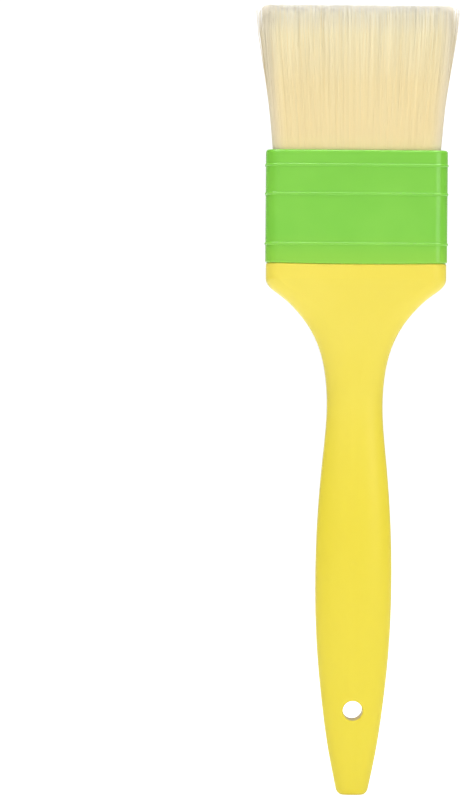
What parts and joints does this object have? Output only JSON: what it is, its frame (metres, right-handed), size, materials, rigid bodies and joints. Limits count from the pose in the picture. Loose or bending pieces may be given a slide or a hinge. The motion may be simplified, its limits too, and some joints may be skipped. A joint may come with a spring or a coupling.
{
  "type": "flat pastry brush",
  "caption": "Flat pastry brush with a moulded waisted handle, hang hole, beaded plastic ferrule and a springy flared bristle head.",
  "frame": {"origin": "Under the middle of the handle's butt, at the lowest point of the brush.", "axes": "The brush is upright, as a hand holds it with the tips up: +Z runs along it from the butt to the bristle tips, X is its width and Y its depth, with the front face at -Y."},
  "size_m": [0.0532, 0.0164, 0.2169],
  "materials": {
    "handle_plastic": "satin",
    "ferrule_plastic": "satin",
    "resin": "gloss",
    "strip_plastic": "matte",
    "bristle": "satin"
  },
  "bodies": {
    "handle": {"handle": "handle_plastic", "ferrule": "ferrule_plastic", "resin_plug": "resin", "filler_strip": "strip_plastic", "front_bristle_roots": "bristle", "rear_bristle_roots": "bristle"},
    "bristles": {"front_bristles": "bristle", "rear_bristles": "bristle"}
  },
  "joints": [
    {"name": "bristle_flex", "type": "hinge", "parent": "handle", "child": "bristles", "pos_m": [0, 0, 0.1908], "axis": [1, 0, 0], "range_deg": [-40, 40], "stiffness_Nm_per_rad": 0.06}
  ]
}
